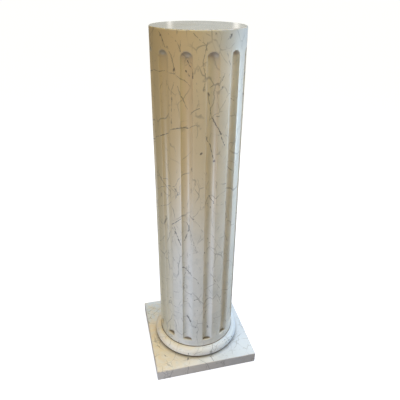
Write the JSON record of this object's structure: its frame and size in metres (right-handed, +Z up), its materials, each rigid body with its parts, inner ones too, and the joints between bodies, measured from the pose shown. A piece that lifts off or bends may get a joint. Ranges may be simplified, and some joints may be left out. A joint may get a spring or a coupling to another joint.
{
  "type": "marble column pedestal",
  "caption": "Short fluted marble column that stands by its own weight, with a flat top for a bust or urn, a half-round torus and a square plinth.",
  "frame": {"origin": "middle of the underside, on the surface that the column stands on", "axes": "+Z up along the shaft; the plinth's sides lie along X and Y, and its front side faces -Y"},
  "size_m": [0.3372, 0.3372, 1.0633],
  "materials": {
    "base_marble": "polished white marble with soft grey veins and clouds",
    "shaft_marble": "honed to a low polish, warm white marble with thin grey veins; the top is polished"
  },
  "bodies": {
    "root": {"base": "base_marble", "shaft": "shaft_marble"}
  },
  "joints": []
}
